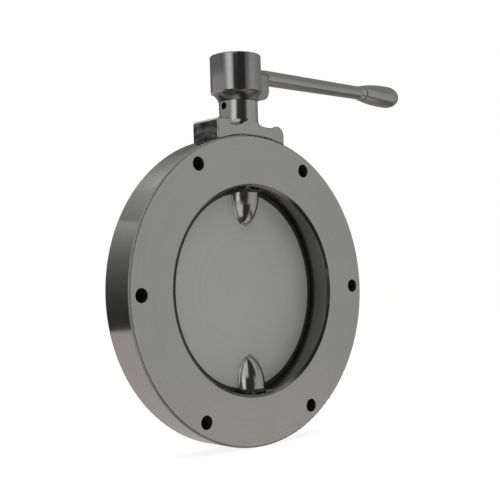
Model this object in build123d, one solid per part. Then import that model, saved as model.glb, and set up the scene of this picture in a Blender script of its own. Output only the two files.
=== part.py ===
from build123d import *
import math
import os

# Butterfly valve with a flat flange ring body, a disc with bullet-shaped bosses and a lever.
# Millimetres. Origin: centre of the bore. Y is the pipe axis, +Z the stem, +X the lever side.
# The disc and the lever stand a few degrees open at rest; closed is the disc square to Y.

# Body ring
bore_r = 75.0
body_r = 112.5
body_length = 28.0
mouth_chamfer = 2.0
rim_round = 1.5
flange_holes = 6
flange_hole_r = 5.0
flange_hole_edge_distance = 10.0

# Rest position and travel, degrees
rest_angle = 5.5
travel_angle = 90.0

# Fits and clearances
running_gap = 0.05
passing_gap = 0.3
thread_gap = 0.02

# How near two sizes must be for an edge to count as the one looked for
size_match = 0.01

# Stems
stem_r = 8.0
stem_neck_shoulder = 1.0
stem_engagement = 15.5
stem_socket_bottom = 0.5
stem_passage_gap = 0.35
stem_top_gap = 0.3
o_ring_section_r = 1.0
o_ring_pitch = 5.0
circlip_thickness = 1.7
circlip_groove_depth = 1.0
circlip_height = 3.0
circlip_gap_angle = 40.0

# Disc and its edge seal
seal_height = 3.7
seal_tongue_depth = 3.0
seal_tongue_width = 1.6
eyelet_thickness = 3.7
eyelet_relief = 0.15
disc_thickness = 3.8
boss_wall = 4.8
boss_cylinder_length = 1.0
boss_nose_length = 23.3
boss_root_round = 2.0
disc_pin_r = 2.0
disc_pin_depth = 8.0
disc_pin_recess = 0.8
disc_pin_blind_wall = 4.0

# Bushes, washers and the lower plug
body_bush_wall = 2.0
body_bush_length = 19.4
body_bush_recess = 0.6
neck_bush_wall = 1.5
neck_bush_length = 17.4
wiper_height = 1.6
thrust_washer_wall = 3.6
thrust_washer_thickness = 1.5
thrust_pocket_depth = 2.5
thrust_pocket_gap = 0.4
plug_wall = 3.0
plug_recess = 1.2
plug_length = 8.1
plug_gasket_thickness = 1.2
plug_stem_gap = 0.6
plug_hex_af = 8.0
plug_hex_depth = 5.0

# Bonnet: a saddle block with a round end and a raised lug, and a neck round the stem
saddle_height = 6.7
saddle_reach = 32.7
ear_rise = 8.4
ear_r = 6.6
lug_rise = 10.6
lug_width = 13.2
lug_round = 3.0
saddle_chamfer = 0.9
neck_wall = 5.8
neck_height = 18.8
neck_fillet = 5.0
weep_hole_r = 2.8
weep_hole_depth = 3.4
bonnet_screw_x = 23.5
bonnet_screw_y = 8.0
bonnet_screw_r = 2.5
bonnet_screw_head_r = 4.25
bonnet_screw_head_height = 3.5
bonnet_screw_head_sink = 0.2
bonnet_screw_length = 14.0
bonnet_screw_hex_af = 3.0

# Lever hub, heights above its underside
hub_r = 18.8
hub_offset = 1.8
hub_height = 33.7
hub_flare_height = 6.5
hub_edge = 0.8
hub_waist_growth = 1.65
hub_waist_share = 0.6
gusset_reach = 10.9
gusset_foot_height = 3.7
gusset_round = 8.0
hub_recess_depth = 6.5
hub_washer_r = 11.8
hub_washer_thickness = 2.0
hub_washer_gap = 0.4
hub_screw_r = 3.0
hub_screw_head_r = 5.0
hub_screw_head_height = 4.0
hub_screw_length = 14.0
hub_screw_hole_spare = 1.0
hub_screw_hex_af = 5.0
key_width = 5.0
key_length = 16.0
key_height = 7.7
key_in_stem = 3.0
key_in_hub = 2.3
grub_r = 2.5
grub_height = 13.7
grub_recess = 0.6
grub_hex_af = 2.5
grub_hex_depth = 2.5
stop_pin_r = 1.0
stop_slot_depth = 3.0
stop_pin_in_hub = 7.0
stop_start_angle = -45.0
stop_end_gap = 0.3

# Lever rod and grip, lengths along the rod
rod_axis_height = 21.2
rod_rise_angle = 1.65
rod_root_r = 5.85
rod_waist_r = 5.55
rod_length = 121.3
rod_thread_r = 4.0
rod_thread_wall = 3.5
tang_r = 3.5
tang_length = 38.0
ferrule_length = 5.6
ferrule_start_r = 5.6
ferrule_end_r = 6.7
grip_groove_width = 1.2
grip_groove_r = 5.5
grip_start_r = 6.8
grip_r = 9.3
grip_flank_length = 35.9
grip_flank_bend = 14.2
grip_dome_length = 15.5

# Handle length of a Bezier curve that follows a quarter ellipse, as a share of its half axis
quarter_ellipse = 0.5523

# Worked out: bore, disc and stems
half_length = body_length / 2
flange_hole_circle_r = body_r - flange_hole_edge_distance
seal_r = bore_r - passing_gap
disc_r = seal_r - seal_height
boss_r = stem_r + boss_wall
boss_end_z = seal_r - eyelet_thickness
boss_nose_z = boss_end_z - boss_cylinder_length
boss_tip_z = boss_nose_z - boss_nose_length
stem_tip_z = boss_end_z - stem_engagement
disc_pin_z = boss_end_z - disc_pin_depth
stem_neck_r = stem_r - stem_neck_shoulder
stem_passage_r = stem_r + stem_passage_gap
body_bush_r = stem_r + running_gap + body_bush_wall
bush_in_z = bore_r + body_bush_recess
bush_out_z = bush_in_z + body_bush_length
o_ring_centre_r = stem_passage_r - running_gap - o_ring_section_r

# Worked out: thrust washers, circlip and plug
thrust_washer_r = stem_r + thrust_washer_wall
thrust_pocket_r = thrust_washer_r + thrust_pocket_gap
thrust_pocket_floor_z = body_r - thrust_pocket_depth
circlip_r = stem_r + circlip_height
circlip_bore_r = stem_r - circlip_groove_depth + thread_gap
circlip_low_z = thrust_pocket_floor_z + thrust_washer_thickness + running_gap
circlip_high_z = circlip_low_z + circlip_thickness
upper_washer_z = circlip_high_z + running_gap
pocket_roof_z = upper_washer_z + thrust_washer_thickness
plug_r = stem_r + plug_wall
plug_outer_z = body_r - plug_recess
plug_inner_z = plug_outer_z - plug_length
plug_seat_z = plug_inner_z - plug_gasket_thickness
lower_stem_end_z = plug_seat_z - plug_stem_gap

# Worked out: bonnet
saddle_top_z = body_r + saddle_height
ear_z = body_r + ear_rise - ear_r
ear_x = saddle_reach - ear_r
lug_top_z = body_r + lug_rise
neck_top_z = saddle_top_z + neck_height
wiper_z = neck_top_z - wiper_height
neck_bush_z = wiper_z - neck_bush_length
neck_bush_r = stem_neck_r + running_gap + neck_bush_wall
neck_r = neck_bush_r + neck_wall
stop_r = (neck_bush_r + neck_r) / 2
weep_hole_z = neck_top_z - weep_hole_depth
stem_step_z = (pocket_roof_z + neck_bush_z) / 2
bonnet_screw_seat_z = saddle_top_z - bonnet_screw_head_sink - bonnet_screw_head_height
bonnet_screw_low_z = bonnet_screw_seat_z - bonnet_screw_length

# Worked out: hub and lever
hub_low_z = neck_top_z + passing_gap
hub_shoulder_z = hub_low_z + hub_flare_height
hub_top_z = hub_low_z + hub_height
hub_seat_z = hub_top_z - hub_recess_depth
hub_recess_r = hub_washer_r + hub_washer_gap
hub_waist_r = neck_r + hub_waist_growth
hub_screw_head_z = hub_seat_z + hub_washer_thickness
stem_top_z = hub_seat_z - stem_top_gap
gusset_end_x = hub_r + gusset_reach
gusset_foot_z = hub_low_z + gusset_foot_height
key_low_z = hub_low_z + key_height
grub_z = hub_low_z + grub_height
rod_axis_z = hub_low_z + rod_axis_height
rod_thread_start = stem_neck_r + rod_thread_wall
rod_end = gusset_end_x + rod_length
ferrule_end = rod_end + ferrule_length
grip_start = ferrule_end + grip_groove_width
grip_dome_start = grip_start + grip_flank_length

os.makedirs("parts", exist_ok=True)


def upright(radius, low_z, high_z):
    """Cylinder on the stem axis between two heights."""
    low_z, high_z = min(low_z, high_z), max(low_z, high_z)
    return Pos(0, 0, low_z) * Cylinder(radius, high_z - low_z, align=(Align.CENTER, Align.CENTER, Align.MIN))


def tube(outer_r, inner_r, low_z, high_z):
    """Ring on the stem axis between two heights."""
    return upright(outer_r, low_z, high_z) - upright(inner_r, low_z, high_z)


def pipe_cylinder(radius, length):
    """Cylinder on the pipe axis, centred on the origin."""
    return Rot(90, 0, 0) * Cylinder(radius, length)


def hex_socket(across_flats, low_z, high_z):
    """Six-sided hole on the Z axis."""
    outline = RegularPolygon(across_flats / 2, 6, major_radius=False)
    return Pos(0, 0, low_z) * extrude(outline, amount=high_z - low_z)


def circles_of_radius(shape, radius):
    """The shape's round edges of one radius."""
    round_edges = shape.edges().filter_by(GeomType.CIRCLE)
    return [edge for edge in round_edges if abs(edge.radius - radius) < size_match]


def at_rest(part):
    """Turn a moving piece from the closed position to its rest position."""
    return Rot(0, 0, rest_angle) * part


def below(part):
    """The same piece on the lower side of the bore."""
    return Rot(180, 0, 0) * part


def make_stem_bore(passage_end_z):
    """Bush pocket and stem passage through the body wall, upwards from inside the bore."""
    pocket = upright(body_bush_r, stem_tip_z, bush_out_z)
    return pocket + upright(stem_passage_r, bush_out_z, passage_end_z)


def make_valve_body():
    ring = pipe_cylinder(body_r, body_length)
    ring = fillet(circles_of_radius(ring, body_r), rim_round)
    ring -= pipe_cylinder(bore_r, body_length)
    ring = chamfer(circles_of_radius(ring, bore_r), mouth_chamfer)
    for index in range(flange_holes):
        angle = math.radians(index * 360 / flange_holes)
        hole_x = flange_hole_circle_r * math.cos(angle)
        hole_z = flange_hole_circle_r * math.sin(angle)
        ring -= Pos(hole_x, 0, hole_z) * pipe_cylinder(flange_hole_r, body_length)
    ring -= make_stem_bore(thrust_pocket_floor_z)
    ring -= upright(thrust_pocket_r, thrust_pocket_floor_z, body_r)
    ring -= below(make_stem_bore(plug_seat_z))
    ring -= below(upright(plug_r + thread_gap, plug_seat_z, body_r))
    for x, y in bonnet_screw_places():
        ring -= Pos(x, y, 0) * upright(bonnet_screw_r + thread_gap, bonnet_screw_low_z, body_r)
    return ring


def bonnet_screw_places():
    return [(x, y) for x in (-bonnet_screw_x, bonnet_screw_x) for y in (-bonnet_screw_y, bonnet_screw_y)]


def make_saddle():
    """Block along X on the body's rim, with a round end at the lever and a raised lug opposite."""
    low_z = body_r - saddle_height
    outline = Rectangle(2 * ear_x, saddle_top_z - low_z, align=(Align.CENTER, Align.MAX))
    outline = Pos(0, saddle_top_z) * outline
    outline += Pos(ear_x, ear_z) * Circle(ear_r)
    outline += Pos(ear_x, ear_z) * Rectangle(ear_r, ear_z - low_z, align=(Align.MIN, Align.MAX))
    lug = Rectangle(lug_width, lug_top_z - low_z, align=(Align.MIN, Align.MAX))
    lug = Pos(-saddle_reach, lug_top_z) * lug
    outline += fillet(lug.vertices().sort_by(Axis.Y)[-2:], lug_round)
    outline -= Circle(body_r)
    block = extrude(Plane.XZ * outline, amount=half_length, both=True)
    face_edges = [edge for edge in block.edges() if abs(abs(edge.center().Y) - half_length) < size_match]
    return chamfer(face_edges, saddle_chamfer)


def make_neck():
    """Round neck with a concave foot, cut off level with the body's faces."""
    foot_r = neck_r + neck_fillet
    foot_z = saddle_top_z + neck_fillet
    low_z = saddle_top_z - saddle_chamfer
    middle = (foot_r - neck_fillet * math.cos(math.pi / 4), foot_z - neck_fillet * math.sin(math.pi / 4))
    wall = Line((neck_r, neck_top_z), (neck_r, foot_z))
    foot = ThreePointArc((neck_r, foot_z), middle, (foot_r, saddle_top_z))
    rest = Polyline(
        (foot_r, saddle_top_z), (foot_r, low_z), (0, low_z), (0, neck_top_z), (neck_r, neck_top_z),
    )
    solid = revolve(Plane.XZ * make_face([wall, foot, *rest.edges()]), axis=Axis.Z)
    height = neck_top_z - low_z
    return solid & (Pos(0, 0, low_z + height / 2) * Box(4 * foot_r, body_length, height))


def make_stop_slot():
    """Arc slot in the neck's top face that the stop pin runs in."""
    end_angle = math.degrees(stop_end_gap / stop_r)
    middle_line = CenterArc((0, 0), stop_r, stop_start_angle - end_angle, travel_angle + 2 * end_angle)
    outline = SlotArc(middle_line, 2 * (stop_pin_r + passing_gap))
    return Pos(0, 0, neck_top_z - stop_slot_depth) * extrude(outline, amount=stop_slot_depth)


def make_bonnet():
    bonnet = make_saddle() + make_neck()
    bonnet -= upright(thrust_pocket_r, thrust_pocket_floor_z, pocket_roof_z)
    bonnet -= upright(stem_passage_r, pocket_roof_z, neck_bush_z)
    bonnet -= upright(neck_bush_r, neck_bush_z, neck_top_z)
    bonnet -= make_weep_hole()
    bonnet -= make_stop_slot()
    for x, y in bonnet_screw_places():
        bonnet -= Pos(x, y, 0) * upright(bonnet_screw_r + passing_gap, bonnet_screw_low_z, saddle_top_z)
        bonnet -= Pos(x, y, 0) * upright(bonnet_screw_head_r + passing_gap, bonnet_screw_seat_z, neck_top_z)
    return bonnet


def make_weep_hole():
    """Hole from the neck's outside to the stem, on the side away from the lever."""
    hole = Rot(0, -90, 0) * Cylinder(weep_hole_r, 2 * neck_r, align=(Align.CENTER, Align.CENTER, Align.MIN))
    return Pos(0, 0, weep_hole_z) * hole


def make_bonnet_screws():
    screws = []
    head_top_z = bonnet_screw_seat_z + bonnet_screw_head_height
    for x, y in bonnet_screw_places():
        screw = upright(bonnet_screw_r, bonnet_screw_low_z, bonnet_screw_seat_z)
        screw += upright(bonnet_screw_head_r, bonnet_screw_seat_z, head_top_z)
        screw -= hex_socket(bonnet_screw_hex_af, head_top_z - bonnet_screw_hex_af / 2, head_top_z)
        screws.append(Pos(x, y, 0) * screw)
    return Compound(screws)


def make_body_bush():
    return tube(body_bush_r, stem_r + running_gap, bush_in_z, bush_out_z)


def make_neck_bush():
    bush = tube(neck_bush_r, stem_neck_r + running_gap, neck_bush_z, wiper_z)
    return bush - make_weep_hole()


def make_neck_wiper():
    return tube(neck_bush_r, stem_neck_r + running_gap, wiper_z, neck_top_z) - make_weep_hole()


def make_thrust_washers():
    lower_washer_top_z = thrust_pocket_floor_z + thrust_washer_thickness
    lower = tube(thrust_washer_r, stem_passage_r, thrust_pocket_floor_z, lower_washer_top_z)
    upper = tube(thrust_washer_r, stem_passage_r, upper_washer_z, pocket_roof_z)
    return Compound([lower, upper])


def make_lower_plug():
    plug = upright(plug_r, plug_inner_z, plug_outer_z)
    plug -= hex_socket(plug_hex_af, plug_outer_z - plug_hex_depth, plug_outer_z)
    return below(plug)


def make_plug_gasket():
    return below(tube(plug_r, stem_passage_r, plug_seat_z, plug_inner_z))


def make_boss():
    """Bullet-shaped boss round the upper stem, nose towards the middle of the bore."""
    quarter = Bezier(
        (0, boss_tip_z), (quarter_ellipse * boss_r, boss_tip_z),
        (boss_r, boss_nose_z - quarter_ellipse * boss_nose_length), (boss_r, boss_nose_z),
    )
    rest = Polyline((boss_r, boss_nose_z), (boss_r, boss_end_z), (0, boss_end_z), (0, boss_tip_z))
    return revolve(Plane.XZ * make_face([quarter, *rest.edges()]), axis=Axis.Z)


def make_seal_ring():
    """Edge ring with a tongue in the disc's groove and a part-spherical outer face."""
    half = disc_thickness / 2
    tongue = seal_tongue_width / 2
    tongue_r = disc_r - seal_tongue_depth
    edge_r = math.sqrt(seal_r ** 2 - half ** 2)
    crown = ThreePointArc((edge_r, -half), (seal_r, 0), (edge_r, half))
    inner = Polyline(
        (edge_r, half), (disc_r, half), (disc_r, tongue), (tongue_r, tongue),
        (tongue_r, -tongue), (disc_r, -tongue), (disc_r, -half), (edge_r, -half),
    )
    return revolve(make_face([crown, *inner.edges()]), axis=Axis.Y)


def make_seal_eyelets():
    """Round pads of the seal over the ends of both bosses."""
    pad = upright(boss_r, boss_end_z, bore_r) & Sphere(seal_r - eyelet_relief)
    return pad, below(pad)


def make_disc_seal():
    seal = make_seal_ring()
    for pad in make_seal_eyelets():
        seal += pad
    stem_hole = upright(stem_r + running_gap, stem_tip_z, bore_r)
    return seal - stem_hole - below(stem_hole)


def make_disc_pin(radius):
    """Pin through the boss from the rear, which stops inside the front wall."""
    front_y = disc_pin_blind_wall - boss_r
    rear_y = boss_r - disc_pin_recess
    pin = Rot(-90, 0, 0) * Cylinder(radius, rear_y - front_y, align=(Align.CENTER, Align.CENTER, Align.MIN))
    return Pos(0, front_y, disc_pin_z) * pin


def make_disc_pins():
    pin = make_disc_pin(disc_pin_r)
    return Compound([pin, Rot(0, 180, 0) * pin])


def make_disc_pin_holes():
    hole = make_disc_pin(disc_pin_r + thread_gap)
    hole += Pos(0, disc_pin_recess, 0) * hole
    return hole, Rot(0, 180, 0) * hole


def boss_root_edges(disc):
    """Edges where the bosses rise out of the disc's two faces."""
    roots = []
    for edge in disc.edges():
        middle = edge @ 0.5
        on_face = abs(abs(edge.center().Y) - disc_thickness / 2) < size_match
        if on_face and math.hypot(middle.X, middle.Z) < disc_r - boss_root_round:
            roots.append(edge)
    return roots


def make_disc():
    disc = pipe_cylinder(disc_r, disc_thickness)
    disc += make_boss()
    disc += below(make_boss())
    disc = fillet(boss_root_edges(disc), boss_root_round)
    disc -= make_seal_ring()
    stem_hole = upright(stem_r + thread_gap, stem_tip_z - stem_socket_bottom, bore_r)
    disc -= stem_hole
    disc -= below(stem_hole)
    for hole in make_disc_pin_holes():
        disc -= hole
    return disc


def o_ring_heights():
    """Centres of the upper stem's two O-rings."""
    middle = (bush_out_z + thrust_pocket_floor_z) / 2
    return [middle - o_ring_pitch / 2, middle + o_ring_pitch / 2]


def lower_o_ring_height():
    return (bush_out_z + plug_seat_z) / 2


def make_o_ring(centre_z):
    return Pos(0, 0, centre_z) * Torus(o_ring_centre_r, o_ring_section_r)


def make_o_ring_groove(centre_z):
    groove_r = o_ring_centre_r - o_ring_section_r
    half_width = o_ring_section_r + thread_gap
    return tube(stem_passage_r, groove_r - thread_gap, centre_z - half_width, centre_z + half_width)


def make_key_box(clearance):
    """Key with its flat sides square to the lever, at the rear of the stem."""
    depth = key_in_stem + key_in_hub
    middle_y = stem_neck_r - key_in_stem + depth / 2
    box = Box(key_width + 2 * clearance, depth + 2 * clearance, key_length + 2 * clearance)
    return Pos(0, middle_y, key_low_z + key_length / 2) * box


def make_upper_stem():
    stem = upright(stem_r, stem_tip_z, stem_step_z) + upright(stem_neck_r, stem_step_z, stem_top_z)
    for height in o_ring_heights():
        stem -= make_o_ring_groove(height)
    stem -= tube(circlip_r, stem_r - circlip_groove_depth, circlip_low_z, circlip_high_z)
    stem -= make_key_box(thread_gap)
    tapped_hole_z = hub_seat_z - hub_screw_length - hub_screw_hole_spare
    stem -= upright(hub_screw_r + thread_gap, tapped_hole_z, stem_top_z)
    return stem - make_disc_pin(disc_pin_r + thread_gap)


def make_lower_stem():
    stem = upright(stem_r, stem_tip_z, lower_stem_end_z)
    stem -= make_o_ring_groove(lower_o_ring_height())
    stem = Rot(0, 180, 0) * stem
    return stem - Rot(0, 180, 0) * make_disc_pin(disc_pin_r + thread_gap)


def make_circlip():
    """Split ring in the stem's groove between the thrust washers."""
    ring = tube(circlip_r, circlip_bore_r, circlip_low_z, circlip_high_z)
    half_gap = math.radians(circlip_gap_angle / 2)
    reach = 2 * circlip_r
    corner_x = reach * math.cos(half_gap)
    corner_y = reach * math.sin(half_gap)
    wedge = make_face(Polyline((0, 0), (corner_x, -corner_y), (corner_x, corner_y), close=True))
    return ring - Pos(0, 0, circlip_low_z) * extrude(wedge, amount=circlip_thickness)


def make_hub_flare():
    """Blend from the neck's radius up to the eccentric barrel."""
    rise = hub_shoulder_z - hub_low_z
    waist_z = hub_low_z + hub_waist_share * rise
    sections = [
        Pos(0, 0, hub_low_z) * Circle(neck_r),
        Pos(-hub_offset * hub_waist_share ** 2, 0, waist_z) * Circle(hub_waist_r),
        Pos(-hub_offset, 0, hub_shoulder_z) * Circle(hub_r),
    ]
    return loft(sections)


def make_gusset():
    """Web under the rod with a round back and a rounded lower corner."""
    height = hub_top_z - hub_low_z
    bar = Rectangle(2 * rod_root_r, height, align=(Align.CENTER, Align.MAX)) + Circle(rod_root_r)
    bar = extrude(Plane.YZ * bar, amount=gusset_end_x + rod_root_r)
    bar = Pos(0, 0, rod_axis_z) * Rot(0, -rod_rise_angle, 0) * bar
    profile = make_face(Polyline(
        (0, hub_top_z), (gusset_end_x, hub_top_z),
        (gusset_end_x, gusset_foot_z), (0, gusset_foot_z), close=True,
    ))
    lower_corner = profile.vertices().sort_by(Axis.Y)[:2].sort_by(Axis.X)[-1]
    profile = fillet(lower_corner, gusset_round)
    return bar & extrude(Plane.XZ * profile, amount=2 * rod_root_r, both=True)


def make_lever_hub():
    barrel = Pos(-hub_offset, 0, 0) * upright(hub_r, hub_shoulder_z, hub_top_z)
    barrel = chamfer(barrel.edges().sort_by(Axis.Z)[-1], hub_edge)
    hub = barrel + make_hub_flare() + make_gusset()
    hub -= upright(stem_neck_r + thread_gap, hub_low_z, hub_seat_z)
    hub -= upright(hub_recess_r, hub_seat_z, hub_top_z)
    hub -= make_key_box(thread_gap)
    hub -= make_rod_thread(rod_thread_r + thread_gap)
    hub -= make_grub_hole()
    return hub - make_stop_pin(stop_pin_r + thread_gap)


def make_grub_hole():
    """Radial hole from the rear of the hub down to the key."""
    start_y = stem_neck_r + key_in_hub
    hole = Cylinder(grub_r + thread_gap, hub_r, align=(Align.CENTER, Align.CENTER, Align.MIN))
    return Pos(0, start_y, grub_z) * Rot(-90, 0, 0) * hole


def make_hub_grub_screw():
    start_y = stem_neck_r + key_in_hub + thread_gap
    rim_y = math.sqrt(hub_r ** 2 - hub_offset ** 2)
    length = rim_y - grub_recess - start_y
    screw = Cylinder(grub_r, length, align=(Align.CENTER, Align.CENTER, Align.MIN))
    screw -= hex_socket(grub_hex_af, length - grub_hex_depth, length)
    return Pos(0, start_y, grub_z) * Rot(-90, 0, 0) * screw


def make_stop_pin(radius):
    """Pin under the hub, in its closed place at one end of the arc slot."""
    angle = math.radians(stop_start_angle)
    low_z = neck_top_z - stop_slot_depth + passing_gap
    high_z = hub_low_z + stop_pin_in_hub
    return Pos(stop_r * math.cos(angle), stop_r * math.sin(angle), 0) * upright(radius, low_z, high_z)


def make_hub_washer():
    return tube(hub_washer_r, hub_screw_r + passing_gap, hub_seat_z, hub_screw_head_z)


def make_hub_screw():
    head_top_z = hub_screw_head_z + hub_screw_head_height
    screw = upright(hub_screw_r, hub_seat_z - hub_screw_length, hub_screw_head_z)
    screw += upright(hub_screw_head_r, hub_screw_head_z, head_top_z)
    return screw - hex_socket(hub_screw_hex_af, head_top_z - hub_screw_hex_af / 2, head_top_z)


def on_rod(part):
    """Put a piece made along +X onto the rod's rising axis."""
    return Pos(0, 0, rod_axis_z) * Rot(0, -rod_rise_angle, 0) * part


def turned(points_and_edges):
    """Solid of revolution about X from edges that close on the axis."""
    return revolve(make_face(points_and_edges), axis=Axis.X)


def make_rod_thread(radius):
    thread = Rot(0, 90, 0) * Cylinder(radius, gusset_end_x, align=(Align.CENTER, Align.CENTER, Align.MIN))
    return on_rod(Pos(rod_thread_start, 0, 0) * thread)


def rod_shoulder():
    """Where the rod's full size starts, clear of the gusset's upright end face."""
    rise = math.radians(rod_rise_angle)
    return gusset_end_x / math.cos(rise) + rod_root_r * math.tan(rise)


def make_lever_rod():
    outline = Polyline(
        (rod_thread_start, 0), (rod_thread_start, rod_thread_r), (rod_shoulder(), rod_thread_r),
        (rod_shoulder(), rod_root_r), (rod_end, rod_waist_r), (rod_end, tang_r),
        (rod_end + tang_length, tang_r), (rod_end + tang_length, 0), close=True,
    )
    return on_rod(turned(outline.edges()))


def make_grip_ferrule():
    bore = tang_r + thread_gap
    outline = Polyline(
        (rod_end, bore), (rod_end, ferrule_start_r), (ferrule_end, ferrule_end_r),
        (ferrule_end, bore), close=True,
    )
    return on_rod(turned(outline.edges()))


def make_lever_grip():
    """Pear-shaped grip: a curved flank, a dome, and a thin neck behind the ferrule."""
    bore = tang_r + thread_gap
    socket_end = rod_end + tang_length + passing_gap
    tip = grip_dome_start + grip_dome_length
    flank = Bezier(
        (grip_start, grip_start_r), (grip_start + grip_flank_bend, grip_r),
        (grip_dome_start - grip_dome_length / 2, grip_r), (grip_dome_start, grip_r),
    )
    dome = Bezier(
        (grip_dome_start, grip_r), (grip_dome_start + quarter_ellipse * grip_dome_length, grip_r),
        (tip, quarter_ellipse * grip_r), (tip, 0),
    )
    rest = Polyline(
        (tip, 0), (socket_end, 0), (socket_end, bore), (ferrule_end, bore),
        (ferrule_end, grip_groove_r), (grip_start, grip_groove_r), (grip_start, grip_start_r),
    )
    return on_rod(turned([flank, dome, *rest.edges()]))


fixed = {
    "valve_body": make_valve_body(),
    "bonnet": make_bonnet(),
    "bonnet_screws": make_bonnet_screws(),
    "upper_body_bush": make_body_bush(),
    "lower_body_bush": below(make_body_bush()),
    "neck_bush": make_neck_bush(),
    "neck_wiper_seal": make_neck_wiper(),
    "thrust_washers": make_thrust_washers(),
    "lower_plug": make_lower_plug(),
    "plug_gasket": make_plug_gasket(),
}

turning = {
    "disc": make_disc(),
    "disc_seal": make_disc_seal(),
    "disc_pins": make_disc_pins(),
    "upper_stem": make_upper_stem(),
    "lower_stem": make_lower_stem(),
    "upper_stem_o_rings": Compound([make_o_ring(height) for height in o_ring_heights()]),
    "lower_stem_o_ring": below(make_o_ring(lower_o_ring_height())),
    "stem_circlip": make_circlip(),
    "lever_hub": make_lever_hub(),
    "hub_key": make_key_box(0),
    "hub_grub_screw": make_hub_grub_screw(),
    "hub_washer": make_hub_washer(),
    "hub_screw": make_hub_screw(),
    "stop_pin": make_stop_pin(stop_pin_r),
    "lever_rod": make_lever_rod(),
    "grip_ferrule": make_grip_ferrule(),
    "lever_grip": make_lever_grip(),
}

for name, part in fixed.items():
    export_step(part, f"parts/{name}.step")
for name, part in turning.items():
    export_step(at_rest(part), f"parts/{name}.step")
print("nodes", len(fixed) + len(turning))
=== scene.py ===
import math
import bpy
import bmesh
import numpy as np
from mathutils import Matrix, Quaternion, Vector


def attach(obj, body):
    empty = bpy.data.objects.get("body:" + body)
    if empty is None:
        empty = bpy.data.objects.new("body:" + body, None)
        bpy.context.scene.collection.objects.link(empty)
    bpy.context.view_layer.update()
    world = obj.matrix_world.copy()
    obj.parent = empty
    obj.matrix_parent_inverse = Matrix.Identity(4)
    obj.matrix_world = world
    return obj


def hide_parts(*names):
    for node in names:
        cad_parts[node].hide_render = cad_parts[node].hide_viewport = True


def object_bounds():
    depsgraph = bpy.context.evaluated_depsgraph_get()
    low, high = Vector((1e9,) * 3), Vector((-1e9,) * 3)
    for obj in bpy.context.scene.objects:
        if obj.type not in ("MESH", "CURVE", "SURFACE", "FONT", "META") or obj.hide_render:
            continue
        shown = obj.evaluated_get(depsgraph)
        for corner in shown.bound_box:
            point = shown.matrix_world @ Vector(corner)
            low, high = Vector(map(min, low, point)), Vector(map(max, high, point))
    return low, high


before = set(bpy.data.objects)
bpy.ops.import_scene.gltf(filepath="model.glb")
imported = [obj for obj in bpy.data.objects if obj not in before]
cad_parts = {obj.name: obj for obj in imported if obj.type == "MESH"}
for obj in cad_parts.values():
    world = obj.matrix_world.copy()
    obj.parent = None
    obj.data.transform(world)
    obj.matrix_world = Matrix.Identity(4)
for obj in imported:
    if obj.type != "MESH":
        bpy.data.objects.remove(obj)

# Butterfly valve with a lever. Metres; Y is the pipe axis, Z the stem, the lever points along +X.
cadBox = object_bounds()
fixedBody = "body"
turningBody = "disc_and_lever"
restTurn = 5.5      # degrees the disc and the lever stand open as drawn

cameraSetup = {
    "place": (-0.4630, -0.5144, 0.0103),
    "aim": (0.0036, -0.0035, 0.0294),
    "roll": -1.93,      # degrees, the camera leans to its right
    "lens": 67.95,
    "sensor": 36.0,
}


def makeCamera(setup):
    data = bpy.data.cameras.new("studioCamera")
    data.lens = setup["lens"]
    data.sensor_width = setup["sensor"]
    data.clip_start = 0.02
    data.dof.use_dof = False
    camera = bpy.data.objects.new("studioCamera", data)
    bpy.context.scene.collection.objects.link(camera)
    place = Vector(setup["place"])
    aim = (Vector(setup["aim"]) - place).to_track_quat("-Z", "Y")
    turn = aim @ Quaternion((0, 0, 1), math.radians(setup["roll"]))
    camera.matrix_world = Matrix.Translation(place) @ turn.to_matrix().to_4x4()
    bpy.context.scene.camera = camera


makeCamera(cameraSetup)
print("camera set")


class Nodes:
    # short names for the few node kinds the finishes use
    def __init__(self, tree):
        self.tree = tree

    def add(self, kind, **settings):
        node = self.tree.nodes.new(kind)
        for name, value in settings.items():
            setattr(node, name, value)
        return node

    def feed(self, node, socket, value):
        if isinstance(value, bpy.types.NodeSocket):
            self.tree.links.new(value, node.inputs[socket])
        else:
            node.inputs[socket].default_value = value

    def math(self, operation, first, second=0.0, third=0.0):
        node = self.add("ShaderNodeMath", operation=operation)
        for index, value in enumerate((first, second, third)):
            self.feed(node, index, value)
        return node.outputs[0]

    def mapRange(self, value, low, high, toLow=0.0, toHigh=1.0, smooth=True):
        node = self.add("ShaderNodeMapRange", interpolation_type="SMOOTHSTEP" if smooth else "LINEAR")
        ends = {"Value": value, "From Min": low, "From Max": high, "To Min": toLow, "To Max": toHigh}
        for name, number in ends.items():
            self.feed(node, name, number)
        return node.outputs["Result"]

    def window(self, value, low, high, soft):
        # one between low and high, nothing outside, with soft ends
        rise = self.mapRange(value, low - soft, low + soft)
        fall = self.mapRange(value, high - soft, high + soft, 1.0, 0.0)
        return self.math("MULTIPLY", rise, fall)

    def blend(self, first, second, share):
        # the share of the first value plus the rest of the second
        return self.math("ADD", self.math("MULTIPLY", first, share), self.math("MULTIPLY", second, 1 - share))

    def noise(self, scale, detail=2.0, vector=None, kind="3D", w=None, rough=0.5):
        node = self.add("ShaderNodeTexNoise", noise_dimensions=kind)
        self.feed(node, "Scale", scale)
        self.feed(node, "Detail", detail)
        self.feed(node, "Roughness", rough)
        if vector is not None:
            self.feed(node, "Vector", vector)
        if w is not None:
            self.feed(node, "W", w)
        return node.outputs["Fac"]

    def mixColor(self, factor, first, second):
        node = self.add("ShaderNodeMix", data_type="RGBA")
        self.feed(node, 0, factor)
        self.feed(node, 6, first)
        self.feed(node, 7, second)
        return node.outputs[2]


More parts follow.
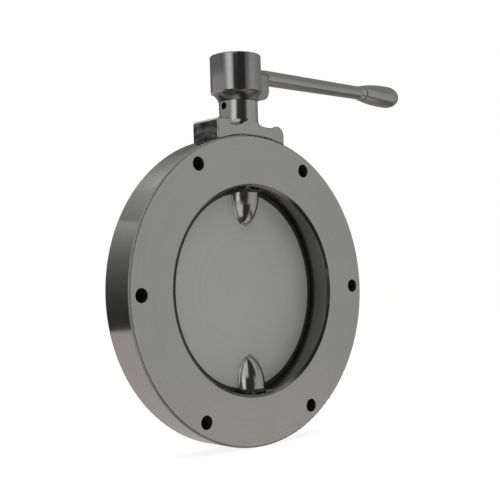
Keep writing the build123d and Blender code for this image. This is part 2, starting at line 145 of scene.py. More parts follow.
tent = {
    "towardCamera": 227.5,      # degrees round from +X, the direction the light bands are counted from
    "bands": [                  # degrees round from that direction (left is minus) and brightness there
        (-180, 0.14), (-150, 0.17), (-95, 0.20), (-75, 0.19), (-63, 0.14), (-50, 0.26), (-40, 0.60),
        (-28, 0.95), (-18, 0.80), (-12, 0.40), (-5, 0.07), (4, 0.030), (30, 0.045), (40, 0.09),
        (50, 0.26), (62, 0.38), (84, 0.42), (110, 0.34), (135, 0.28), (180, 0.14),
    ],
    "tint": (0.985, 1.0, 0.955),
    "floorTint": (1.04, 0.97, 0.92),
    "floorGlow": 0.44,
    "ceilingGlow": 0.47,
    "ceilingFrom": 24.0,        # degrees up where the bands give way to the ceiling
    "ceilingFull": 46.0,
    "floorFrom": -3.0,          # degrees up where the ground begins to take over
    "floorFull": -13.0,
    "background": 1.0,
    "lamp": {                   # one small lamp high behind
        "left": -146.5, "right": -132.5, "low": 39.0, "high": 45.0,
        "softAround": 2.0, "softUp": 1.5, "glow": 1.5,
    },
    "patchTint": (1.0, 1.0, 0.99),
    "patches": [                # degrees round from and to, degrees up from and to, softness, brightness
        (-34, 16, -60, -16, 6.0, 0.62),     # bright strips above and below, beside the camera
        (-34, 16, 16, 60, 6.0, 0.62),
        (-8, 43, -16, 16, 4.0, 0.035),      # unlit room round the camera
        (8, 66, -95, -14, 6.0, 0.035),
        (8, 66, 14, 95, 6.0, 0.035),
        (-150, 12, -95, -53, 6.0, 0.06),    # under the valve on the left
        (94, 170, 16, 62, 6.0, 0.25),       # high on the right
        (118, 176, -62, -8, 6.0, 0.22),     # low behind on the right
        (58, 150, -37, -24, 4.0, 0.12),     # darker strip low on the right
    ],
}


def tinted(glow, tint):
    return (*(glow * share for share in tint), 1)


def makeWorld(setup):
    # brightness by direction: bands round the horizon, an even ceiling above and an even floor below
    world = bpy.data.worlds.new("lightTent")
    bpy.context.scene.world = world
    world.use_nodes = True
    tree = world.node_tree
    tree.nodes.clear()
    n = Nodes(tree)
    coords = n.add("ShaderNodeTexCoord").outputs["Generated"]
    turn = n.add("ShaderNodeVectorRotate", rotation_type="Z_AXIS")
    n.feed(turn, "Vector", coords)
    n.feed(turn, "Angle", -math.radians(setup["towardCamera"]))
    parts = n.add("ShaderNodeSeparateXYZ")
    n.feed(parts, 0, turn.outputs[0])
    around = n.math("ARCTAN2", parts.outputs[1], parts.outputs[0])
    share = n.math("MULTIPLY_ADD", around, 0.5 / math.pi, 0.5)
    ramp = n.add("ShaderNodeValToRGB")
    marks = ramp.color_ramp.elements
    for angle, glow in setup["bands"]:
        mark = {-180: marks[0], 180: marks[-1]}.get(angle) or marks.new((angle + 180) / 360)
        mark.color = tinted(glow, setup["tint"])
    n.feed(ramp, 0, share)
    up = n.math("MULTIPLY", n.math("ARCSINE", parts.outputs[2]), 180 / math.pi)
    ceiling = tinted(setup["ceilingGlow"], setup["tint"])
    ground = tinted(setup["floorGlow"], setup["floorTint"])
    high = n.mapRange(up, setup["ceilingFrom"], setup["ceilingFull"])
    sky = n.mixColor(high, ramp.outputs[0], ceiling)
    down = n.math("MULTIPLY", up, -1.0)
    whole = n.mixColor(n.mapRange(down, -setup["floorFrom"], -setup["floorFull"]), sky, ground)
    degrees = n.math("MULTIPLY", around, 180 / math.pi)
    for left, right, low, high, soft, glow in setup["patches"]:
        inside = n.math("MULTIPLY", n.window(degrees, left, right, soft), n.window(up, low, high, soft))
        whole = n.mixColor(inside, whole, tinted(glow, setup["patchTint"]))
    lamp = setup["lamp"]
    across = n.window(degrees, lamp["left"], lamp["right"], lamp["softAround"])
    inside = n.math("MULTIPLY", across, n.window(up, lamp["low"], lamp["high"], lamp["softUp"]))
    whole = n.mixColor(inside, whole, tinted(lamp["glow"], (1, 1, 1)))
    lit = n.add("ShaderNodeBackground")
    n.feed(lit, "Color", whole)
    plain = n.add("ShaderNodeBackground")
    n.feed(plain, "Color", (1, 1, 1, 1))
    n.feed(plain, "Strength", setup["background"])
    seen = n.add("ShaderNodeLightPath").outputs["Is Camera Ray"]
    mix = n.add("ShaderNodeMixShader")
    n.feed(mix, 0, seen)
    n.feed(mix, 1, lit.outputs[0])
    n.feed(mix, 2, plain.outputs[0])
    out = n.add("ShaderNodeOutputWorld")
    n.feed(out, "Surface", mix.outputs[0])


darkScreen = {
    "radius": 0.38,             # a dark cloth standing in an arc on the left, paler towards its top
    "fromAngle": 100.0,         # degrees round from +X
    "toAngle": 183.0,
    "steps": 32,
    "low": -0.111,
    "high": 0.235,
    "glow": 0.045,
    "glowHeight": -0.036,       # the height where the glow has this value
    "darkest": -0.020,          # metres below that height where it stops falling
    "rise": 0.12,               # metres higher for 2.7 times the glow
}

keyLight = {
    "place": (-0.25, -0.35, 1.3),
    "size": 1.2,
    "power": 16.0,
}

floor = {
    "halfSide": 6.0,
    "drop": 0.0004,     # below the valve's lowest point, so that nothing touches
    "color": (0.45, 0.45, 0.447, 1),
    "glow": 0.84,
}


def sheetMesh(name, corners):
    mesh = bpy.data.meshes.new(name)
    mesh.from_pydata([tuple(c) for c in corners], [], [(0, 1, 2, 3)])
    obj = bpy.data.objects.new(name, mesh)
    bpy.context.scene.collection.objects.link(obj)
    return obj


def makeScreen(setup):
    # upright arc: every angle of the sweep gives one point at the low and one at the high edge
    angles = np.radians(np.linspace(setup["fromAngle"], setup["toAngle"], setup["steps"] + 1))
    ring = np.stack([setup["radius"] * np.cos(angles), setup["radius"] * np.sin(angles)], axis=1)
    low = np.column_stack([ring, np.full(len(ring), setup["low"])])
    high = np.column_stack([ring, np.full(len(ring), setup["high"])])
    index = np.arange(setup["steps"])
    quads = np.stack([index, index + 1, index + 1 + len(ring), index + len(ring)], axis=1)
    mesh = bpy.data.meshes.new("darkScreen")
    mesh.from_pydata(np.concatenate([low, high]).tolist(), [], quads.tolist())
    cloth = glowMaterial("darkCloth", (1, 1, 1, 1), setup["glow"])
    n = Nodes(cloth.node_tree)
    parts = n.add("ShaderNodeSeparateXYZ")
    n.feed(parts, 0, n.add("ShaderNodeTexCoord").outputs["Object"])
    above = n.math("MAXIMUM", n.math("SUBTRACT", parts.outputs[2], setup["glowHeight"]), setup["darkest"])
    grown = n.math("EXPONENT", n.math("DIVIDE", above, setup["rise"]))
    strength = n.math("MULTIPLY", grown, setup["glow"])
    n.feed(cloth.node_tree.nodes["Principled BSDF"], "Emission Strength", strength)
    mesh.materials.append(cloth)
    screen = bpy.data.objects.new("darkScreen", mesh)
    bpy.context.scene.collection.objects.link(screen)
    screen.visible_camera = False
    screen.visible_diffuse = False
    screen.visible_shadow = False
    return screen


def glowMaterial(name, color, strength, diffuse=(0, 0, 0, 1)):
    # a surface that shines by itself, with no gloss
    material = bpy.data.materials.new(name)
    material.use_nodes = True
    shader = material.node_tree.nodes["Principled BSDF"]
    shader.inputs["Base Color"].default_value = diffuse
    shader.inputs["Roughness"].default_value = 0.9
    shader.inputs["Specular IOR Level"].default_value = 0.0
    shader.inputs["Emission Color"].default_value = color
    shader.inputs["Emission Strength"].default_value = strength
    return material


def makeStudio():
    makeWorld(tent)
    bottom = cadBox[0][2] - floor["drop"]
    side = floor["halfSide"]
    corners = [(-side, -side, bottom), (side, -side, bottom), (side, side, bottom), (-side, side, bottom)]
    ground = sheetMesh("studioFloor", corners)
    ground.data.materials.append(glowMaterial("paleFloor", (1, 1, 1, 1), floor["glow"], floor["color"]))
    ground.visible_glossy = False
    screen = makeScreen(darkScreen)
    data = bpy.data.lights.new("overheadSoftbox", "AREA")
    data.shape = "SQUARE"
    data.size = keyLight["size"]
    data.energy = keyLight["power"]
    light = bpy.data.objects.new("overheadSoftbox", data)
    light.location = keyLight["place"]
    light.rotation_euler = (Vector((0, 0, 0)) - light.location).to_track_quat("-Z", "Y").to_euler()
    light.visible_glossy = False
    bpy.context.scene.collection.objects.link(light)
    bpy.context.scene.view_settings.view_transform = "Standard"
    bpy.context.scene.view_settings.look = "None"


makeStudio()
print("studio set")


def newFinish(name, color, metallic, roughness):
    material = bpy.data.materials.new(name)
    material.use_nodes = True
    n = Nodes(material.node_tree)
    shader = material.node_tree.nodes["Principled BSDF"]
    shader.inputs["Base Color"].default_value = (*color, 1)
    shader.inputs["Metallic"].default_value = metallic
    shader.inputs["Roughness"].default_value = roughness
    coords = n.add("ShaderNodeTexCoord").outputs["Object"]
    return material, n, shader, coords


def addBump(n, shader, height, distance, strength):
    bump = n.add("ShaderNodeBump")
    n.feed(bump, "Height", height)
    n.feed(bump, "Distance", distance)
    n.feed(bump, "Strength", strength)
    n.feed(shader, "Normal", bump.outputs[0])


def radialWay(n, coords, axis):
    # distance from the axis plus distance along it: rings on a flat face, and lines round a turned wall
    keep = {"x": (0, 1, 1), "y": (1, 0, 1), "z": (1, 1, 0)}[axis]
    flat = n.add("ShaderNodeVectorMath", operation="MULTIPLY")
    n.feed(flat, 0, coords)
    n.feed(flat, 1, keep)
    length = n.add("ShaderNodeVectorMath", operation="LENGTH")
    n.feed(length, 0, flat.outputs[0])
    parts = n.add("ShaderNodeSeparateXYZ")
    n.feed(parts, 0, coords)
    return n.math("ADD", length.outputs["Value"], parts.outputs["xyz".index(axis)])


def steelFinish(name, setup):
    # stainless steel: ring-wise tool lines, fine grain, and cloudy patches in colour and gloss
    material, n, shader, coords = newFinish(name, setup["color"], setup["metallic"], setup["roughness"])
    way = radialWay(n, coords, setup["axis"])
    lines = n.noise(setup["lineScale"], 3.0, kind="1D", w=way, rough=setup["lineRoughness"])
    broad = n.noise(setup["lineScale"] * setup["broadScale"], 2.0, kind="1D", w=way)
    clouds = n.noise(setup["cloudScale"], 3.0, vector=coords)
    grain = n.noise(setup["grainScale"], 2.0, vector=coords)
    patches = n.blend(clouds, broad, setup["cloudShare"])
    shade = n.mapRange(patches, *setup["shadeRange"])
    dark = tuple(c * setup["shadeDepth"] for c in setup["color"])
    n.feed(shader, "Base Color", n.mixColor(shade, (*dark, 1), (*setup["color"], 1)))
    gloss = n.blend(clouds, lines, setup["glossCloudShare"])
    smoothest, roughest = (setup["roughness"] * share for share in setup["roughnessSpread"])
    n.feed(shader, "Roughness", n.mapRange(gloss, *setup["glossRange"], smoothest, roughest, smooth=False))
    height = n.blend(lines, grain, setup["lineShare"])
    addBump(n, shader, height, setup["bumpDistance"], setup["bumpStrength"])
    return material


polishedSetup = {
    "color": (0.615, 0.615, 0.60), "metallic": 1.0, "roughness": 0.13, "axis": "y",
    "lineScale": 2600.0, "lineRoughness": 0.65, "broadScale": 0.11, "cloudScale": 34.0, "grainScale": 900.0,
    "lineShare": 0.6, "cloudShare": 0.7, "shadeRange": (0.35, 0.65), "shadeDepth": 0.95,
    "glossCloudShare": 0.6, "glossRange": (0.3, 0.7), "roughnessSpread": (0.75, 1.3),
    "bumpDistance": 0.0004, "bumpStrength": 0.014,
}
polishedSteel = steelFinish("polishedSteel", polishedSetup)
satinSteel = steelFinish("satinSteel", {
    **polishedSetup, "color": (0.375, 0.375, 0.362), "metallic": 0.25, "roughness": 0.42, "lineScale": 3200.0,
    "bumpStrength": 0.03,
})
brushedSteel = steelFinish("brushedSteel", {**polishedSetup, "roughness": 0.52, "bumpStrength": 0.03})
# rougher bored steel, with its colour darkened as painted shade inside the bore
boredSteelAndShade = steelFinish("boredSteelAndShade", {
    **polishedSetup, "color": (0.30, 0.30, 0.29), "roughness": 0.22, "bumpStrength": 0.03,
})
spunSteel = steelFinish("spunSteel", {
    **polishedSetup, "axis": "z", "roughness": 0.10, "color": (0.495, 0.49, 0.505), "lineScale": 1800.0,
    "bumpStrength": 0.02,
})
# painted shade: a darker copy of the hub's steel for the flare's downward faces under the shoulder
flarePaintedShade = steelFinish("flarePaintedShade", {
    **polishedSetup, "axis": "z", "roughness": 0.24, "color": (0.29, 0.285, 0.285), "lineScale": 1800.0,
    "bumpStrength": 0.02,
})
# painted dark reflection: dark, patchy steel on the lug's end stands in for the dark room the polished lug
# reflects
lugPaintedDarkReflection = steelFinish("lugPaintedDarkReflection", {
    **polishedSetup, "axis": "z", "roughness": 0.17, "color": (0.30, 0.30, 0.31), "shadeDepth": 0.12,
    "cloudScale": 95.0, "lineShare": 0.2, "bumpStrength": 0.06,
})
turnedSteel = steelFinish("turnedSteel", {
    **polishedSetup, "axis": "x", "roughness": 0.20, "color": (0.60, 0.60, 0.585), "lineScale": 2200.0,
    "lineShare": 0.75, "bumpStrength": 0.08,
})
fixingSteel = steelFinish("fixingSteel", {
    **polishedSetup, "axis": "z", "roughness": 0.26, "color": (0.52, 0.52, 0.51), "lineScale": 3000.0,
    "bumpStrength": 0.08,
})


softSpread = {"shadeRange": (0.35, 0.65), "glossRange": (0.3, 0.7), "roughness": (0.9, 1.1)}


def softFinish(name, setup):
    # rubber or plastic, and the painted shade inside holes: fine matt grain with faint mottling
    material, n, shader, coords = newFinish(name, setup["color"], 0.0, setup["roughness"])
    mottle = n.noise(setup["mottleScale"], 3.0, vector=coords)
    grain = n.noise(setup["grainScale"], 2.0, vector=coords)
    light = tuple(min(1.0, c * setup["lift"]) for c in setup["color"])
    shade = n.mapRange(mottle, *softSpread["shadeRange"])
    n.feed(shader, "Base Color", n.mixColor(shade, (*setup["color"], 1), (*light, 1)))
    smoothest, roughest = (setup["roughness"] * share for share in softSpread["roughness"])
    rough = n.mapRange(mottle, *softSpread["glossRange"], smoothest, roughest, smooth=False)
    n.feed(shader, "Roughness", rough)
    addBump(n, shader, grain, setup["bumpDistance"], setup["bumpStrength"])
    return material


blackRubber = softFinish("blackRubber", {
    "color": (0.012, 0.012, 0.013), "lift": 1.8, "roughness": 0.55, "mottleScale": 160.0,
    "grainScale": 2400.0, "bumpDistance": 0.0003, "bumpStrength": 0.15,
})
whitePtfe = softFinish("whitePtfe", {
    "color": (0.78, 0.78, 0.76), "lift": 1.06, "roughness": 0.42, "mottleScale": 120.0,
    "grainScale": 1800.0, "bumpDistance": 0.0003, "bumpStrength": 0.08,
})
# painted shade: near-black matt walls inside the drilled holes, standing in for the shade there
paintedHoleShade = softFinish("paintedHoleShade", {
    "color": (0.010, 0.0095, 0.009), "lift": 1.7, "roughness": 0.6, "mottleScale": 300.0,
    "grainScale": 3000.0, "bumpDistance": 0.0004, "bumpStrength": 0.3,
})
print("finishes made")


mending = {"mergeDistance": 2e-6, "sliverEdge": 1e-7, "edgeAngle": 28.0, "gridMerge": 1e-7}


def linkPiece(name, mesh, node, body):
    piece = bpy.data.objects.new(name, mesh)
    bpy.context.scene.collection.objects.link(piece)
    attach(piece, body)
    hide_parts(node)
    return piece


def smoothCopy(name, node, body, material):
    # the CAD shape with its doubled points merged, shaded smooth between its edges
    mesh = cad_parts[node].data.copy()
    mesh.name = name
    work = bmesh.new()
    work.from_mesh(mesh)
    bmesh.ops.remove_doubles(work, verts=work.verts, dist=mending["mergeDistance"])
    bmesh.ops.dissolve_degenerate(work, edges=work.edges, dist=mending["sliverEdge"])
    work.to_mesh(mesh)
    work.free()
    mesh.materials.clear()
    mesh.materials.append(material)
    mesh.shade_smooth()
    mesh.set_sharp_from_angle(angle=math.radians(mending["edgeAngle"]))
    piece = linkPiece(name, mesh, node, body)
    flats = piece.modifiers.new("keepFlats", "WEIGHTED_NORMAL")
    flats.keep_sharp = True
    return piece


def paintWhere(piece, material, rule):
    # give the faces whose middles and normals pass the rule a second material
    mesh = piece.data
    count = len(mesh.polygons)
    middles = np.empty(count * 3)
    normals = np.empty(count * 3)
    mesh.polygons.foreach_get("center", middles)
    mesh.polygons.foreach_get("normal", normals)
    picked = rule(middles.reshape(-1, 3), normals.reshape(-1, 3))
    mesh.materials.append(material)
    slots = np.zeros(count, dtype=np.int32)
    mesh.polygons.foreach_get("material_index", slots)
    slots[picked] = len(mesh.materials) - 1
    mesh.polygons.foreach_set("material_index", slots)
    mesh.update()


def exactNormals(piece, shape):
    # distance outside the inner edge circle plus height above its level gives the true normal of the
    # flat faces, the rim and the round edge between them; holes and the bore keep their own normals
    piece.modifiers.clear()
    mesh = piece.data
    normals = np.empty(len(mesh.loops) * 3)
    mesh.corner_normals.foreach_get("vector", normals)
    normals = normals.reshape(-1, 3)
    points = np.empty(len(mesh.vertices) * 3)
    mesh.vertices.foreach_get("co", points)
    index = np.empty(len(mesh.loops), dtype=np.int32)
    mesh.loops.foreach_get("vertex_index", index)
    points = points.reshape(-1, 3)[index]
    facing = np.empty(len(mesh.polygons) * 3)
    mesh.polygons.foreach_get("normal", facing)
    corners = np.empty(len(mesh.polygons), dtype=np.int32)
    mesh.polygons.foreach_get("loop_total", corners)
    facing = np.repeat(facing.reshape(-1, 3), corners, axis=0)
    away = np.hypot(points[:, 0], points[:, 2])
    outward = np.clip(away - shape["radius"] + shape["round"], 0, None)
    along = np.clip(np.abs(points[:, 1]) - shape["halfLength"] + shape["round"], 0, None)
    side = np.sign(points[:, 1])
    true = np.stack([points[:, 0] / away * outward, side * along, points[:, 2] / away * outward], axis=1)
    length = np.linalg.norm(true, axis=1)
    true /= np.maximum(length, shape["slack"])[:, None]
    onShape = np.abs(length - shape["round"]) < shape["slack"]
    agrees = onShape & ((true * facing).sum(axis=1) > shape["agreement"])
    normals[agrees] = true[agrees]
    mesh.normals_split_custom_set(normals.tolist())


bodyFacts = {
    "radius": 0.1125,
    "halfLength": 0.014,
    "round": 0.0015,
    "slack": 3e-5,
    "agreement": 0.85,      # cosine between a face's own normal and the true one
    "holes": 6,
    "holeCircle": 0.1025,
    "holeRadius": 0.005,
    "holeSlack": 0.0002,
    "sideFacing": 0.5,      # most that a hole's wall faces along the pipe
}


def insideFlangeHoles(middles, normals):
    # within one of the holes' radius, and facing sideways: these walls get the painted shade
    angle = np.arctan2(middles[:, 2], middles[:, 0])
    apart = 2 * math.pi / bodyFacts["holes"]
    nearest = np.round(angle / apart) * apart
    acrossX = middles[:, 0] - bodyFacts["holeCircle"] * np.cos(nearest)
    acrossZ = middles[:, 2] - bodyFacts["holeCircle"] * np.sin(nearest)
    away = np.hypot(acrossX, acrossZ)
    near = away < bodyFacts["holeRadius"] + bodyFacts["holeSlack"]
    return near & (np.abs(normals[:, 1]) < bodyFacts["sideFacing"])


bodyRing = smoothCopy("bodyRing", "valve_body", fixedBody, polishedSteel)
# the flange holes' walls get painted shade
paintWhere(bodyRing, paintedHoleShade, insideFlangeHoles)
boreFacts = {"radius": 0.075, "slack": 0.0016, "facing": 0.3}


def insideBore(middles, normals):
    # on the pipe bore or the narrow cone at its mouth, facing the axis: these faces get the painted shade
    away = np.hypot(middles[:, 0], middles[:, 2])
    inward = -(middles[:, 0] * normals[:, 0] + middles[:, 2] * normals[:, 2]) / away
    return (np.abs(away - boreFacts["radius"]) < boreFacts["slack"]) & (inward > boreFacts["facing"])


edgeFacing = {"least": 0.05, "most": 0.998}      # how far along the pipe the round edge's faces point


def onRoundEdge(middles, normals):
    # the round edge between the rim and a flat face
    away = np.hypot(middles[:, 0], middles[:, 2])
    across = np.abs(normals[:, 1])
    outside = away > bodyFacts["radius"] - bodyFacts["round"]
    return outside & (across > edgeFacing["least"]) & (across < edgeFacing["most"])


paintWhere(bodyRing, boredSteelAndShade, insideBore)
paintWhere(bodyRing, brushedSteel, onRoundEdge)
exactNormals(bodyRing, bodyFacts)
neckBlock = smoothCopy("neckBlock", "bonnet", fixedBody, polishedSteel)
weepHole = {"height": 0.1346, "radius": 0.0028, "slack": 0.0001, "beyond": -0.004}
lugEnd = {"beyond": -0.0325, "above": 0.1, "frontFacing": -0.9}


def insideWeepHole(middles, normals):
    away = np.hypot(middles[:, 1], middles[:, 2] - weepHole["height"])
    return (away < weepHole["radius"] + weepHole["slack"]) & (middles[:, 0] < weepHole["beyond"])


def onLugEnd(middles, normals):
    # the raised lug's end face and the edges round it, which get a painted dark reflection
    atEnd = (middles[:, 0] < lugEnd["beyond"]) & (middles[:, 2] > lugEnd["above"])
    return atEnd & (normals[:, 1] > lugEnd["frontFacing"])


# the weep hole's wall gets painted shade
paintWhere(neckBlock, paintedHoleShade, insideWeepHole)
# painted dark reflection on the lug's end
paintWhere(neckBlock, lugPaintedDarkReflection, onLugEnd)
discPlate = smoothCopy("discPlate", "disc", turningBody, satinSteel)
discFacts = {"halfThickness": 0.0019, "rootRound": 0.0005}


def onBosses(middles, normals):
    # further from the disc's middle plane than its flat faces
    turn = math.radians(restTurn)
    away = middles[:, 1] * math.cos(turn) - middles[:, 0] * math.sin(turn)
    return np.abs(away) > discFacts["halfThickness"] + discFacts["rootRound"]


paintWhere(discPlate, polishedSteel, onBosses)
edgeSeal = smoothCopy("edgeSeal", "disc_seal", turningBody, blackRubber)
saddleScrews = smoothCopy("saddleScrews", "bonnet_screws", fixedBody, fixingSteel)
hubScrew = smoothCopy("hubScrew", "hub_screw", turningBody, fixingSteel)
hubWasher = smoothCopy("hubWasher", "hub_washer", turningBody, fixingSteel)
grubScrew = smoothCopy("grubScrew", "hub_grub_screw", turningBody, fixingSteel)
discPins = smoothCopy("discPins", "disc_pins", turningBody, fixingSteel)
lowerPlug = smoothCopy("lowerPlug", "lower_plug", fixedBody, fixingSteel)
print("smoothed pieces made")


def gridMesh(name, rows, closedRows=False, poles=()):
    # rows: points by profile step and by angle; the angle closes on itself, and the profile closes too
    # when closedRows is set, otherwise each end named in poles gets a point at its middle
    steps, around, _ = rows.shape
    lines = steps if closedRows else steps - 1
    i, j = np.meshgrid(np.arange(lines), np.arange(around), indexing="ij")
    nextI, nextJ = (i + 1) % steps, (j + 1) % around
    ring, nextRing = i * around, nextI * around
    quads = np.stack([ring + j, ring + nextJ, nextRing + nextJ, nextRing + j], axis=-1).reshape(-1, 4)
    points = rows.reshape(-1, 3)
    faces = quads.tolist()
    angle = np.arange(around)
    for end in poles:
        first = 0 if end == "start" else (steps - 1) * around
        middle = rows[0 if end == "start" else -1].mean(axis=0)
        points = np.vstack([points, middle])
        here, beside = first + angle, first + (angle + 1) % around
        pair = (beside, here) if end == "start" else (here, beside)
        faces += np.stack([*pair, np.full(around, len(points) - 1)], axis=1).tolist()
    mesh = bpy.data.meshes.new(name)
    mesh.from_pydata(points.tolist(), [], faces)
    mesh.update()
    work = bmesh.new()
    work.from_mesh(mesh)
    bmesh.ops.remove_doubles(work, verts=work.verts, dist=mending["gridMerge"])
    bmesh.ops.recalc_face_normals(work, faces=work.faces)
    work.to_mesh(mesh)
    work.free()
    return mesh


def roundedProfile(corners, rounds, steps=6):
    # each inner corner of the line becomes a parabola arc between points one round away on both sides
    corners = np.asarray(corners, dtype=float)
    rounds = np.asarray(rounds, dtype=float)[:, None]
    back = corners[:-2] - corners[1:-1]
    ahead = corners[2:] - corners[1:-1]
    backLength = np.linalg.norm(back, axis=1, keepdims=True)
    aheadLength = np.linalg.norm(ahead, axis=1, keepdims=True)
    mostShare = 0.45        # of the shorter side, so that two arcs never meet
    reach = np.minimum(rounds, mostShare * np.minimum(backLength, aheadLength))
    start = corners[1:-1] + back / backLength * reach
    end = corners[1:-1] + ahead / aheadLength * reach
    t = np.linspace(0, 1, steps + 1)[None, :, None]
    middle = corners[1:-1][:, None]
    arcs = (1 - t) ** 2 * start[:, None] + 2 * t * (1 - t) * middle + t ** 2 * end[:, None]
    return np.vstack([corners[:1], arcs.reshape(-1, 2), corners[-1:]])


lever = {
    "rise": 1.65,           # degrees the rod climbs away from the hub
    "axisHeight": 0.1595,   # where the rod's axis crosses the stem's
    "segments": 160,
    "edgeAngle": 35.0,
}


def toRest(x, y, z):
    # points turned about the stem to the rest position
    turn = math.radians(restTurn)
    return np.stack([x * math.cos(turn) - y * math.sin(turn), x * math.sin(turn) + y * math.cos(turn), z], -1)


def leverPlace(along, radius, angle):
    # points at a distance along the rising rod and a radius round it, at the rest position
    rise = math.radians(lever["rise"])
    x = along * math.cos(rise) - radius * np.cos(angle) * math.sin(rise)
    z = along * math.sin(rise) + radius * np.cos(angle) * math.cos(rise) + lever["axisHeight"]
    return toRest(x, radius * np.sin(angle), z)


def turnedPiece(name, node, profile, material):
    # a line of distance and radius carried once round the rod's axis
    angle = np.linspace(0, 2 * math.pi, lever["segments"], endpoint=False)
    rows = leverPlace(profile[:, :1], profile[:, 1:], angle[None, :])
    mesh = gridMesh(name, rows, poles=("start", "end"))
    mesh.materials.append(material)
    mesh.shade_smooth()
    mesh.set_sharp_from_angle(angle=math.radians(lever["edgeAngle"]))
    return linkPiece(name, mesh, node, turningBody)


rodShape = {
    "tailRadius": 0.0040, "tailFrom": 0.012, "shoulder": 0.0287, "rootRadius": 0.00585,
    "waist": 0.1510, "waistRadius": 0.00555, "edge": 0.0003, "innerEdge": 0.0001, "tang": 0.1600,
    "tangRadius": 0.0035,
}


def makeRod(setup):
    corners = [
        (setup["tailFrom"], 0), (setup["tailFrom"], setup["tailRadius"]),
        (setup["shoulder"], setup["tailRadius"]), (setup["shoulder"], setup["rootRadius"]),
        (setup["waist"], setup["waistRadius"]), (setup["waist"], setup["tangRadius"]),
        (setup["tang"], setup["tangRadius"]), (setup["tang"], 0),
    ]
    half = [setup["edge"], setup["innerEdge"], setup["edge"]]
    profile = roundedProfile(corners, half + half[::-1])
    return turnedPiece("leverRod", "lever_rod", profile, turnedSteel)


ferruleShape = {"from": 0.1510, "to": 0.1566, "startRadius": 0.0056, "endRadius": 0.0067, "edge": 0.0003}


def makeFerrule(setup):
    corners = [
        (setup["from"], 0), (setup["from"], setup["startRadius"]),
        (setup["to"], setup["endRadius"]), (setup["to"], 0),
    ]
    profile = roundedProfile(corners, [setup["edge"]] * 2)
    return turnedPiece("gripFerrule", "grip_ferrule", profile, turnedSteel)


gripShape = {
    "neckFrom": 0.1566, "neckRadius": 0.0055, "from": 0.1578, "startRadius": 0.0068, "bend": 0.0142,
    "domeFrom": 0.1937, "radius": 0.0093, "domeLength": 0.0155, "steps": 40,
    "rounds": (0.0001, 0.0002, 0.0004),
}


def makeGrip(setup):
    # flank: a cubic curve that swells to the full radius; dome: a quarter ellipse
    t = np.linspace(0, 1, setup["steps"] + 1)[:, None]
    hold = setup["domeFrom"] - setup["domeLength"] / 2
    points = np.array([
        (setup["from"], setup["startRadius"]), (setup["from"] + setup["bend"], setup["radius"]),
        (hold, setup["radius"]), (setup["domeFrom"], setup["radius"]),
    ])
    shares = np.hstack([(1 - t) ** 3, 3 * t * (1 - t) ** 2, 3 * t ** 2 * (1 - t), t ** 3])
    flank = shares @ points
    sweep = t[1:-1] * math.pi / 2
    domeAlong = setup["domeFrom"] + setup["domeLength"] * np.sin(sweep)
    dome = np.hstack([domeAlong, setup["radius"] * np.cos(sweep)])
    tip = (setup["domeFrom"] + setup["domeLength"], 0)
    corners = [
        (setup["neckFrom"], 0), (setup["neckFrom"], setup["neckRadius"]),
        (setup["from"], setup["neckRadius"]), (setup["from"], setup["startRadius"]), tuple(flank[2]),
    ]
    start = roundedProfile(corners, setup["rounds"])
    profile = np.vstack([start[:-1], flank[3:], dome, [tip]])
    return turnedPiece("leverGrip", "lever_grip", profile, turnedSteel)


makeRod(rodShape)
makeFerrule(ferruleShape)
makeGrip(gripShape)

hubShape = {
    "low": 0.1383, "shoulder": 0.1448, "top": 0.1720, "footRadius": 0.01435, "radius": 0.0188,
    "offset": -0.0018, "flareRound": 0.55, "edge": 0.0011, "bore": 0.00702, "recessRadius": 0.0122,
    "recessDepth": 0.0065, "recessEdge": 0.0002,
    "webHalfWidth": 0.00585, "webEnd": 0.0297, "webFoot": 0.1420, "webCorner": 0.0080, "webBlend": 0.0016,
    "webRise": 0.6,             # share of the rod's climb that the web's top follows
    "webPower": 14,             # higher is a sharper corner between the web's side and end
    "webSpread": 0.3,           # least cosine of the angle from the lever where the web can be
    "webAngle": 36, "webColumns": 241, "otherColumns": 145, "flareRows": 26, "rows": 150, "edgeRows": 8,
    "sharpAngle": 38.0,
    "drill": {"radius": 0.00252, "height": 0.1520, "from": 0.004, "to": 0.03, "segments": 64},
}


def smoothMax(first, second, blend):
    # the larger of two fields, with a round valley of the given size where they cross
    h = np.clip(0.5 + 0.5 * (first - second) / blend, 0, 1)
    return second * (1 - h) + first * h + blend * h * (1 - h)


def hubAngles(setup):
    # angles round the stem, close together where the web leaves the barrel
    edge = setup["webAngle"]
    dense = np.radians(np.linspace(-edge, edge, setup["webColumns"]))
    rest = np.radians(np.linspace(edge, 360 - edge, setup["otherColumns"]))[1:-1]
    return np.concatenate([dense, rest])


def barrelRadius(setup, z, angle):
    # distance from the stem to an off-centre circle whose radius and offset grow along the flare
    share = np.clip((z - setup["low"]) / (setup["shoulder"] - setup["low"]), 0, 1)
    arc, line = np.sqrt(np.clip(1 - share ** 2, 0, 1)), 1 - share
    grown = 1 - arc * setup["flareRound"] - line * (1 - setup["flareRound"])
    radius = setup["footRadius"] + (setup["radius"] - setup["footRadius"]) * grown
    offset = setup["offset"] * grown
    return offset * np.cos(angle) + np.sqrt(radius ** 2 - (offset * np.sin(angle)) ** 2)


def webRadius(setup, z, angle):
    # distance to the web's side or end face, whichever comes first, soft at the corner between them
    rodZ = lever["axisHeight"] + setup["webEnd"] * math.tan(math.radians(lever["rise"])) * setup["webRise"]
    above = np.clip(z - rodZ, 0, None)
    half = np.sqrt(np.clip(setup["webHalfWidth"] ** 2 - above ** 2, 0, None))
    corner = setup["webCorner"]
    below = np.clip(setup["webFoot"] + corner - z, 0, corner)
    end = setup["webEnd"] - corner + np.sqrt(np.clip(corner ** 2 - below ** 2, 0, None))
    inside = (z > setup["webFoot"]) & (half > 0) & (np.cos(angle) > setup["webSpread"])
    tiny, power = 1e-6, setup["webPower"]
    side = np.where(inside, half, 1.0) / np.maximum(np.abs(np.sin(angle)), tiny)
    face = end / np.maximum(np.cos(angle), tiny)
    return np.where(inside, (side ** -power + face ** -power) ** (-1 / power), 0.0)


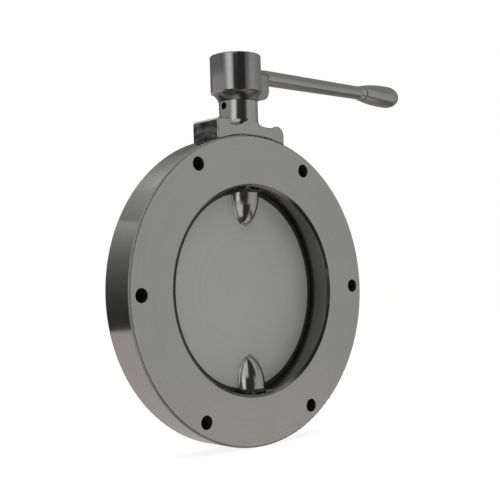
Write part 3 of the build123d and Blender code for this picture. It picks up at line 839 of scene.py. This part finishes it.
def drillMesh(mesh, drill):
    # the mesh with the straight round hole for the grub screw, from the bore out through the back
    angle = np.linspace(0, 2 * math.pi, drill["segments"], endpoint=False)
    ends = np.array([[drill["from"]], [drill["to"]]])
    height = drill["height"] + drill["radius"] * np.sin(angle)
    rows = toRest(*np.broadcast_arrays(drill["radius"] * np.cos(angle), ends, height))
    host = bpy.data.objects.new("hubBlank", mesh)
    cutter = bpy.data.objects.new("hubDrill", gridMesh("hubDrill", rows, poles=("start", "end")))
    for obj in (host, cutter):
        bpy.context.scene.collection.objects.link(obj)
    cut = host.modifiers.new("drill", "BOOLEAN")
    cut.operation = "DIFFERENCE"
    cut.solver = "EXACT"
    cut.object = cutter
    drilled = bpy.data.meshes.new_from_object(host.evaluated_get(bpy.context.evaluated_depsgraph_get()))
    for obj in (host, cutter):
        bpy.data.objects.remove(obj)
    return drilled


def makeHub(setup):
    # wall with the web, round top edge, recess and bore, as one closed grid round the stem
    angle = hubAngles(setup)[None, :]
    turn = math.radians(restTurn)
    z = np.concatenate([
        np.linspace(setup["low"], setup["shoulder"], setup["flareRows"])[:-1],
        np.linspace(setup["shoulder"], setup["top"] - setup["edge"], setup["rows"]),
    ])[:, None]
    wall = smoothMax(barrelRadius(setup, z, angle), webRadius(setup, z, angle), setup["webBlend"])
    wallHeight = np.broadcast_to(z, wall.shape)
    arc = np.linspace(0, math.pi / 2, setup["edgeRows"])[1:, None]     # round top edge, a quarter circle
    topLine = barrelRadius(setup, np.array([[setup["top"]]]), angle)
    edgeRadius = topLine - setup["edge"] * (1 - np.cos(arc))
    edgeHeight = np.broadcast_to(setup["top"] - setup["edge"] + setup["edge"] * np.sin(arc), edgeRadius.shape)
    recessFloor = setup["top"] - setup["recessDepth"]
    inner = np.array([
        (setup["recessRadius"] + setup["recessEdge"], setup["top"]),
        (setup["recessRadius"], setup["top"] - setup["recessEdge"]),
        (setup["recessRadius"], recessFloor), (setup["bore"], recessFloor), (setup["bore"], setup["low"]),
    ])
    innerRadius = np.broadcast_to(inner[:, :1], (len(inner), angle.shape[1]))
    innerHeight = np.broadcast_to(inner[:, 1:], innerRadius.shape)
    radius = np.vstack([wall, edgeRadius, innerRadius])
    height = np.vstack([wallHeight, edgeHeight, innerHeight])
    rows = np.stack([radius * np.cos(angle + turn), radius * np.sin(angle + turn), height], axis=-1)
    mesh = drillMesh(gridMesh("leverHub", rows, closedRows=True), setup["drill"])
    mesh.materials.clear()
    mesh.materials.append(spunSteel)
    mesh.shade_smooth()
    mesh.set_sharp_from_angle(angle=math.radians(setup["sharpAngle"]))
    return linkPiece("leverHub", mesh, "lever_hub", turningBody)


flareFacing = -0.2      # the flare's faces point at least this far down


def onFlare(middles, normals):
    # below the hub's shoulder, and not on the web: the faces that get the painted shade
    away = np.hypot(middles[:, 0], middles[:, 1])
    below = (middles[:, 2] < hubShape["shoulder"]) & (away < hubShape["radius"])
    return below & (normals[:, 2] < flareFacing)


# the flare's downward faces get painted shade
paintWhere(makeHub(hubShape), flarePaintedShade, onFlare)
print("lever made")

innerFinishes = {       # these parts keep their CAD objects
    "upper_body_bush": whitePtfe, "lower_body_bush": whitePtfe, "neck_bush": whitePtfe,
    "thrust_washers": whitePtfe, "plug_gasket": whitePtfe,
    "neck_wiper_seal": blackRubber, "upper_stem_o_rings": blackRubber, "lower_stem_o_ring": blackRubber,
    "upper_stem": fixingSteel, "lower_stem": fixingSteel, "stem_circlip": fixingSteel,
    "hub_key": fixingSteel, "stop_pin": fixingSteel,
}
for node, material in innerFinishes.items():
    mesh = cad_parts[node].data
    if not mesh.materials:
        mesh.materials.append(material)
    for index in range(len(mesh.materials)):
        mesh.materials[index] = material
print("inner parts finished")
